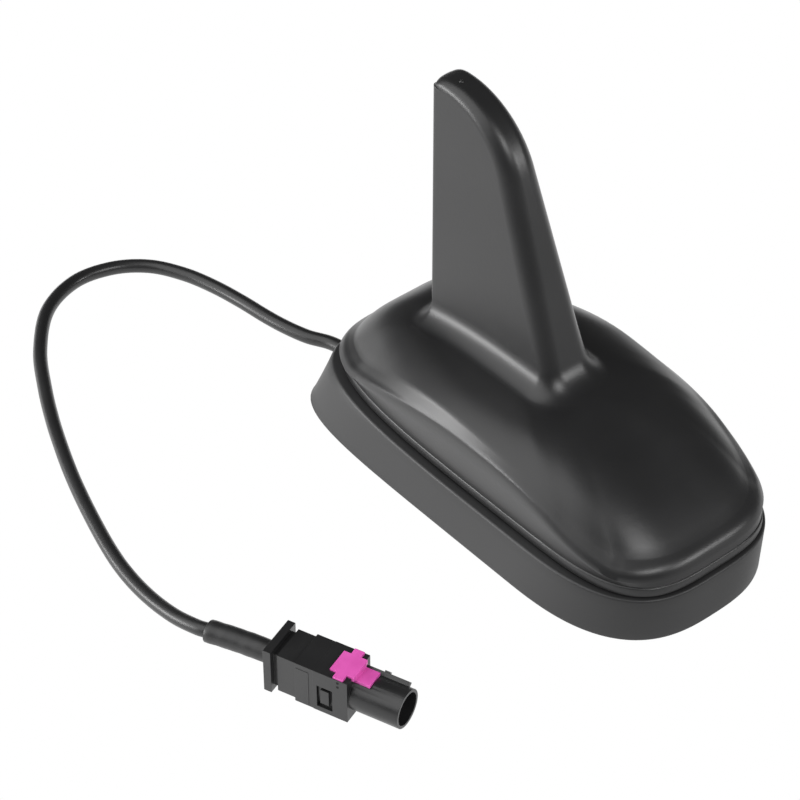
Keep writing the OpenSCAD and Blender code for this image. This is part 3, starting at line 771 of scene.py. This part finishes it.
# Small marks on the plug, in its own frame. The carrier's skin, and the panel on its side
CARRIER_AT, SKIN_IN = 7.2, 0.05
PANEL_FROM, PANEL_TO, PANEL_PROUD, PANEL_DEEP = 0.3, 3.3, 0.04, 0.3
PANEL_FOOT, PANEL_DROP = 0.3, 1.3
# The bump on the key rib: its turn about the plug's axis, and its two corners
RIB_TURN, RIB_BUMP = 50, ((-0.5, -24.6, 4.4), (0.5, -23.4, 5.55))
# The two sprue pits, shown as near-black discs of painted shade: place along the plug, depths under
# its top, and profile
PIT_AT, PIT_DROPS = 17.3, (0.75, 1.9)
PIT = ((0.32, -0.03), (0.32, 0.3), (0.01, 0.3), (0.01, -0.03))


def plug_point(u):
    """A point on the plug's axis, u in front of the flange's rear face."""
    cfg = settings().plug
    t = math.radians(cfg.turn)
    return Vector(cfg.at) + u * Vector((math.sin(t), -math.cos(t), 0))


def plug_frame():
    """Local X across, -Y towards the mouth and Z up, from the middle of the flange's rear."""
    cfg = settings().plug
    return Matrix.Translation(Vector(cfg.at)) @ Matrix.Rotation(math.radians(cfg.turn), 4, "Z")


def sleeve_point(s):
    """A point on the sleeve's middle line, s behind the plug's rear face."""
    length = settings().lead.sleeve_l
    return plug_point(-s) + (s / length) ** 2 * Vector((-1.2, 0.2, 0))


def smooth_path(points, steps):
    """Catmull-Rom curve through the points."""
    p = [Vector(v) for v in points]
    path = []
    for k in range(len(p) - 1):
        a, b, c, d = p[max(k - 1, 0)], p[k], p[k + 1], p[min(k + 2, len(p) - 1)]
        for i in range(steps):
            s = i / steps
            path.append(0.5 * (2 * b + (c - a) * s + (2 * a - 5 * b + 4 * c - d) * s * s
                               + (3 * b - a - 3 * c + d) * s ** 3))
    return path + [p[-1]]


def add_tube(bm, path, radius, n=24):
    """Rings square to a path."""
    rings = []
    for k, point in enumerate(path):
        a, b = path[max(k - 1, 0)], path[min(k + 1, len(path) - 1)]
        rings.append(circle(point, radius, *across((b - a).normalized()), n))
    add_loft(bm, rings)


# Operators


class AERIAL_OT_camera(bpy.types.Operator):
    """Place the camera where the photograph was taken from"""

    bl_idname = "aerial.camera"
    bl_label = "Add Studio Camera"

    def execute(self, context):
        cfg = settings().stage
        data = bpy.data.cameras.new("studio_camera")
        data.sensor_width = 36
        data.lens = cfg.lens
        data.clip_start = 0.05
        data.clip_end = 20
        camera = bpy.data.objects.new("studio_camera", data)
        context.scene.collection.objects.link(camera)
        a, e = math.radians(cfg.azimuth), math.radians(cfg.elevation)
        right = Vector((math.cos(a), math.sin(a), 0))
        look = Vector((-math.sin(a) * math.cos(e), math.cos(a) * math.cos(e), -math.sin(e)))
        turn = Matrix((right, right.cross(look), -look)).transposed().to_4x4()
        turn.translation = Vector(cfg.position) * MM
        camera.matrix_world = turn
        context.scene.camera = camera
        return {"FINISHED"}


class AERIAL_OT_lead(bpy.types.Operator):
    """Add the free lead, its stretch inside the base and the heat shrink sleeve"""

    bl_idname = "aerial.lead"
    bl_label = "Add Coaxial Lead"

    def execute(self, context):
        cfg = settings().lead
        look = lead_jacket()
        self.sleeve(cfg)
        self.free_lead(cfg, look)
        bm = bmesh.new()
        add_tube(bm, smooth_path(INNER_ROUTE, 6), cfg.diameter / 2)
        new_piece("lead_in_base", bm, look, "aerial_lead")
        return {"FINISHED"}

    def free_lead(self, cfg, look):
        points = [Vector(p) for p in LEAD_ROUTE]
        points += [sleeve_point(s) for s in (cfg.sleeve_l, *SLEEVE_KNOTS)]
        points.append(plug_point(LEAD_INSIDE))
        data = bpy.data.curves.new("coaxial_lead", "CURVE")
        data.dimensions = "3D"
        data.bevel_depth = cfg.diameter / 2 * MM
        data.bevel_resolution = 6
        data.resolution_u = 8
        data.use_fill_caps = True
        spline = data.splines.new("BEZIER")
        spline.bezier_points.add(len(points) - 1)
        low = min(p.z for p in points)
        for k, knot in enumerate(spline.bezier_points):
            lean = (points[min(k + 1, len(points) - 1)] - points[max(k - 1, 0)]) / 6
            knot.handle_left_type = knot.handle_right_type = "FREE"
            knot.co = points[k] * MM
            for side, sign in (("handle_left", -1), ("handle_right", 1)):
                handle = points[k] + sign * lean
                handle.z = max(handle.z, low)
                setattr(knot, side, handle * MM)
        data.materials.append(look)
        lead = bpy.data.objects.new("coaxial_lead", data)
        bpy.context.scene.collection.objects.link(lead)
        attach(lead, BODY)
        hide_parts("aerial_lead")

    def sleeve(self, cfg):
        """Outer skin from the plug to the rear end, then the bore back to the plug."""
        n = 30
        r, length = cfg.sleeve_d / 2, cfg.sleeve_l
        stops = [(s, r - less) for s, less in SLEEVE_ENDS]
        for k in range(1, n):
            s = mix(0.4, length - 0.5, k / n)
            stops.append((s, r + RIPPLE * math.sin(1.9 * s) * math.sin(0.55 * s + 1)))
        stops += [(length - s, r - less) for s, less in reversed(SLEEVE_ENDS)]
        stops += [(s, cfg.diameter / 2 + SLEEVE_GAP) for s in (length, *SLEEVE_KNOTS)]
        side, up = across((plug_point(0) - sleeve_point(SLEEVE_STRAIGHT)).normalized())
        bm = bmesh.new()
        add_loft(bm, [circle(sleeve_point(s), radius, side, up, 32) for s, radius in stops],
                 closed=True)
        sleeve = new_piece("shrink_sleeve", bm, shrink_sleeve(), "heat_shrink_sleeve")


class AERIAL_OT_cover(bpy.types.Operator):
    """Add the moulded cover with its fin, its screw bosses inside and the gate mark at the tip"""

    bl_idname = "aerial.cover"
    bl_label = "Add Cover"

    def execute(self, context):
        form = Form()
        look = cover_plastic()
        bm = bmesh.new()
        add_loft(bm, outer_rings(form) + inner_rings(form), closed=True)
        x, y, z = GATE_AT
        tip = Matrix.Translation((x, form.crown_c[0] + y, form.fin.height + z))
        add_turned(bm, GATE_MARK, tip, 16)
        cover = new_piece("cover_shell", bm, look, "cover", angle=50)
        bm = bmesh.new()
        r, top, seat = form.cover.boss_d / 2, form.foot_z + BOSS_TOP, form.foot_z + BOSS_SEAT
        profile = ((r, BOSS_FOOT), (r, top - BOSS_EDGE), (r - BOSS_EDGE, top), (0.01, top),
                   (0.01, seat), (BOSS_BORE, seat), (BOSS_BORE, BOSS_FOOT))
        for x, y in BOSSES:
            for s in (-1, 1):
                add_turned(bm, profile, Matrix.Translation((s * x, y, 0)), 32)
        new_piece("cover_bosses", bm, look, "cover")
        return {"FINISHED"}


class AERIAL_OT_skirt(bpy.types.Operator):
    """Add the rubber skirt with its ledge"""

    bl_idname = "aerial.skirt"
    bl_label = "Add Skirt"

    def execute(self, context):
        bm = bmesh.new()
        add_loft(bm, skirt_rings(Form()), closed=True)
        skirt = new_piece("rubber_skirt", bm, skirt_rubber(), "gasket", angle=50)
        return {"FINISHED"}


class AERIAL_OT_plug(bpy.types.Operator):
    """Add the coded RF plug: its moulded body, the violet insert and the small marks on it"""

    bl_idname = "aerial.plug"
    bl_label = "Add RF Plug"

    def execute(self, context):
        cfg = settings().plug
        look = plug_plastic()
        for name, node, coat in (("plug_body", "plug_housing", look),
                                 ("coding_key", "coding_insert", violet_plastic())):
            piece = bevelled(new_piece(name, node_copy(node), coat, node, angle=30), cfg.edge)
        self.small_marks(cfg, look)
        return {"FINISHED"}

    def small_marks(self, cfg, look):
        """The rear carrier's skin, its side panel, the key rib's bump and two sprue pits of painted
        shade.
        """
        place = plug_frame()
        side, top = cfg.width / 2, cfg.height / 2
        bm = bmesh.new()
        add_box(bm, (SKIN_IN - side, -CARRIER_AT - cfg.carrier, SKIN_IN - top),
                (side - SKIN_IN, -CARRIER_AT, top - SKIN_IN), place)
        add_box(bm, (-side - PANEL_PROUD, -CARRIER_AT - PANEL_TO, PANEL_FOOT - top),
                (PANEL_DEEP - side, -CARRIER_AT - PANEL_FROM, top - PANEL_DROP), place)
        add_box(bm, *RIB_BUMP, place @ Matrix.Rotation(math.radians(RIB_TURN), 4, "Y"))
        bevelled(new_piece("plug_marks", bm, look, "plug_housing", angle=30), 0.05)
        bm = bmesh.new()
        inwards = Matrix.Rotation(math.radians(90), 4, "Y")
        for drop in PIT_DROPS:
            spot = Matrix.Translation((-side, -PIT_AT, top - drop))
            add_turned(bm, PIT, place @ spot @ inwards, 16)
        # Near-black matte discs paint the shade that falls inside the two pits; it is not the
        # plastic's own colour
        pit_painted_shade = moulded("pit_painted_shade", (0.003, 0.003, 0.003), 0.9)
        new_piece("sprue_pits_painted_shade", bm, pit_painted_shade, "plug_housing")


class AERIAL_OT_inside(bpy.types.Operator):
    """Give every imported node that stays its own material"""

    bl_idname = "aerial.inside"
    bl_label = "Finish Inner Parts"

    def execute(self, context):
        mask = board_mask()
        steel = metal("zinc_steel", (0.56, 0.57, 0.59), 0.32)
        tin = metal("tinned_steel", (0.62, 0.62, 0.63), 0.38)
        nickel = metal("nickel", (0.66, 0.66, 0.67), 0.28)
        looks = {
            "base_tray": moulded("tray_plastic", (0.05, 0.05, 0.052), 0.5),
            "adhesive_pad": moulded("pad_foam", (0.03, 0.03, 0.03), 0.85, cells=2600),
            "cover_screws": steel, "board_screws": steel,
            "matching_board": mask, "fin_board": mask,
            "board_parts": moulded("chip_ceramic", (0.10, 0.095, 0.09), 0.45),
            "radiator": metal("bare_copper", (0.72, 0.36, 0.20), 0.3),
            "feed_brackets": tin, "lead_clamp": tin,
            "crimp_ferrule": nickel, "contact_tube": nickel,
            "lead_end": moulded("stripped_core", (0.80, 0.78, 0.72), 0.35),
            "contact_insulator": moulded("white_insulator", (0.85, 0.84, 0.80), 0.4),
            "centre_pin": metal("gold_plate", (0.83, 0.62, 0.25), 0.25),
        }
        for name, look in looks.items():
            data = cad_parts[name].data
            data.materials.clear()
            data.materials.append(look)
        return {"FINISHED"}


# Softboxes: name, place, width and height in metres, the power's setting and a share of it
SOFTBOXES = (
    ("softbox_back", (-0.86, 0.68, 0.15), 0.6, 0.28, "back_power", 1.0),
    ("softbox_front", (0.48, -0.84, 0.42), 0.4, 0.25, "front_power", 1.0),
    ("softbox_near", (-0.12, -0.75, 0.78), 0.45, 0.3, "front_power", 1.2),
    ("softbox_top", (-0.78, 0.39, 0.96), 1.5, 1.5, "top_power", 1.0),
)
LIGHTS_AIM = (0, 0, 0.03)
# How the table's glow falls off: from and to in metres, and the share that is left
GLOW_Y = (-0.072, -0.018, 0.4)
GLOW_X = (-0.22, -0.13, 0.15)
TABLE_HALF = 3


class AERIAL_OT_stage(bpy.types.Operator):
    """Add the plain white table and the soft studio light"""

    bl_idname = "aerial.stage"
    bl_label = "Add Studio Stage"

    def execute(self, context):
        cfg = settings().stage
        self.table(context, cfg)
        self.room(context, cfg)
        for name, place, width, height, setting, share in SOFTBOXES:
            self.softbox(name, place, width, height, share * getattr(cfg, setting))
        context.scene.view_settings.view_transform = "Standard"
        return {"FINISHED"}

    def table(self, context, cfg):
        bm = bmesh.new()
        bmesh.ops.create_grid(bm, x_segments=1, y_segments=1, size=TABLE_HALF)
        mesh = bpy.data.meshes.new("studio_floor")
        bm.to_mesh(mesh)
        bm.free()
        floor = bpy.data.objects.new("studio_floor", mesh)
        context.scene.collection.objects.link(floor)
        material, surface = shader("studio_white", (0.3, 0.3, 0.3), 0.9)
        surface.inputs["Emission Color"].default_value = (1, 1, 1, 1)
        nodes, links = material.node_tree.nodes, material.node_tree.links
        place = nodes.new("ShaderNodeTexCoord")
        split = nodes.new("ShaderNodeSeparateXYZ")
        links.new(place.outputs["Object"], split.inputs["Vector"])
        falls = nodes.new("ShaderNodeMath")
        falls.operation = "MULTIPLY"
        for socket, axis, fall, full in ((0, "Y", GLOW_Y, cfg.floor_glow), (1, "X", GLOW_X, 1.0)):
            start, stop, left = fall
            drift(material, falls, socket, split.outputs[axis], left * full, full, start, stop)
        links.new(falls.outputs["Value"], surface.inputs["Emission Strength"])
        glow = nodes.new("ShaderNodeEmission")
        self.by_camera(nodes, links, surface.outputs["BSDF"], glow.outputs["Emission"],
                       "Material Output")
        mesh.materials.append(material)

    def room(self, context, cfg):
        world = bpy.data.worlds.new("studio")
        context.scene.world = world
        world.use_nodes = True
        nodes, links = world.node_tree.nodes, world.node_tree.links
        room = nodes["Background"]
        room.inputs["Color"].default_value = (1, 1, 1, 1)
        room.inputs["Strength"].default_value = cfg.room_glow
        white = nodes.new("ShaderNodeBackground")
        white.inputs["Color"].default_value = (1, 1, 1, 1)
        self.by_camera(nodes, links, room.outputs["Background"], white.outputs["Background"],
                       "World Output")

    def by_camera(self, nodes, links, lit, shown, output):
        """The object is lit by one shader, and the camera itself sees plain white."""
        ray = nodes.new("ShaderNodeLightPath")
        blend = nodes.new("ShaderNodeMixShader")
        links.new(ray.outputs["Is Camera Ray"], blend.inputs["Fac"])
        links.new(lit, blend.inputs[1])
        links.new(shown, blend.inputs[2])
        links.new(blend.outputs["Shader"], nodes[output].inputs["Surface"])

    def softbox(self, name, place, width, height, power):
        data = bpy.data.lights.new(name, "AREA")
        data.shape = "RECTANGLE"
        data.size, data.size_y = width, height
        data.energy = power
        light = bpy.data.objects.new(name, data)
        bpy.context.scene.collection.objects.link(light)
        light.location = place
        aim = Vector(LIGHTS_AIM) - Vector(place)
        light.rotation_euler = aim.to_track_quat("-Z", "Y").to_euler()


class AERIAL_PT_panel(bpy.types.Panel):
    """Sizes of the aerial and the steps that build it"""

    bl_idname = "AERIAL_PT_panel"
    bl_label = "Shark Fin Aerial"
    bl_space_type = "VIEW_3D"
    bl_region_type = "UI"
    bl_category = "Aerial"

    def draw(self, context):
        cfg = context.scene.aerial
        layout = self.layout
        layout.prop(cfg, "detail")
        for title, group in (("Base", cfg.base), ("Cover", cfg.cover), ("Fin", cfg.fin),
                             ("Lead", cfg.lead), ("Plug", cfg.plug), ("Stage", cfg.stage)):
            box = layout.box()
            box.label(text=title)
            for key in group.__annotations__:
                box.prop(group, key)
        for step in STEPS:
            layout.operator(step.bl_idname)


GROUPS = (AerialStage, AerialBase, AerialCover, AerialFin, AerialLead, AerialPlug, AerialSettings)
STEPS = (AERIAL_OT_camera, AERIAL_OT_plug, AERIAL_OT_lead, AERIAL_OT_cover, AERIAL_OT_skirt,
         AERIAL_OT_inside, AERIAL_OT_stage)
CLASSES = (*GROUPS, *STEPS, AERIAL_PT_panel)


def register():
    for cls in CLASSES:
        bpy.utils.register_class(cls)
    bpy.types.Scene.aerial = PointerProperty(type=AerialSettings)


def unregister():
    del bpy.types.Scene.aerial
    for cls in reversed(CLASSES):
        bpy.utils.unregister_class(cls)


def main():
    register()
    bpy.ops.aerial.camera()
    bpy.ops.aerial.plug()
    bpy.ops.aerial.lead()
    bpy.ops.aerial.cover()
    bpy.ops.aerial.skirt()
    bpy.ops.aerial.inside()
    bpy.ops.aerial.stage()


if __name__ == "__main__":
    main()
